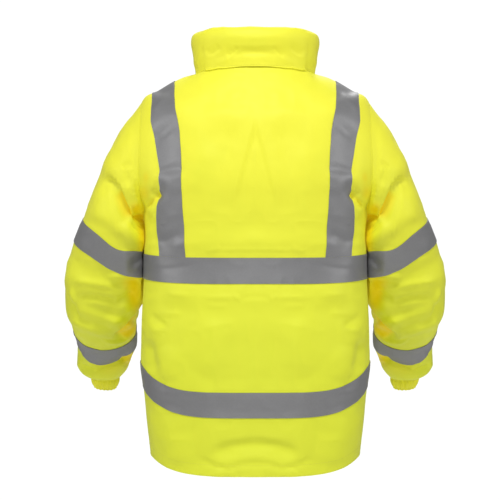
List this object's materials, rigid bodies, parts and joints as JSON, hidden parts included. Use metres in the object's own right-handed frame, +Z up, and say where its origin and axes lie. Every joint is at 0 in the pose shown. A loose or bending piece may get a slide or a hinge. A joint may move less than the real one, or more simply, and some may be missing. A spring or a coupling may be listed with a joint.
{
  "type": "hi-vis work jacket in its worn shape",
  "caption": "High-visibility work jacket with silver reflective tape, a stand collar over a rolled hood and gathered cuffs, hollow as if worn.",
  "frame": {"origin": "middle of the neck opening, level with the inner ends of the shoulder seams, where the wearer's neck and shoulders hold the jacket", "axes": "+Z up, +Y towards the jacket's back, +X towards the wearer's left"},
  "size_m": [0.7748, 0.4079, 0.8758],
  "materials": {
    "hi_vis_yellow": "matte coated polyester, fluorescent yellow",
    "silver_tape": "silver-grey retroreflective tape",
    "zip_metal": "satin",
    "zip_tape_yellow": "woven zip tape"
  },
  "bodies": {
    "jacket": {"back": "hi_vis_yellow", "front_left": "hi_vis_yellow", "front_right": "hi_vis_yellow", "sleeve_back_left": "hi_vis_yellow", "sleeve_front_left": "hi_vis_yellow", "sleeve_back_right": "hi_vis_yellow", "sleeve_front_right": "hi_vis_yellow", "cuff_left": "hi_vis_yellow", "cuff_right": "hi_vis_yellow", "collar": "hi_vis_yellow", "hood_flap": "hi_vis_yellow", "waist_back": "silver_tape", "waist_front_left": "silver_tape", "waist_front_right": "silver_tape", "lower_back": "silver_tape", "lower_front_left": "silver_tape", "lower_front_right": "silver_tape", "brace_back_left": "silver_tape", "brace_back_right": "silver_tape", "brace_front_left": "silver_tape", "brace_front_right": "silver_tape", "sleeve_tape_upper_left": "silver_tape", "sleeve_tape_upper_right": "silver_tape", "sleeve_tape_lower_left": "silver_tape", "sleeve_tape_lower_right": "silver_tape", "zip_tape_left": "zip_tape_yellow", "zip_tape_right": "zip_tape_yellow", "zip_chain": "zip_metal", "zip_slider": "zip_metal"},
    "pull_tab": {"zip_pull": "zip_metal"}
  },
  "joints": [
    {"name": "pull_tab_hinge", "type": "hinge", "parent": "jacket", "child": "pull_tab", "pos_m": [0, -0.11015, 0.03228], "axis": [-1, 0, 0], "range_deg": [0, 165]}
  ]
}
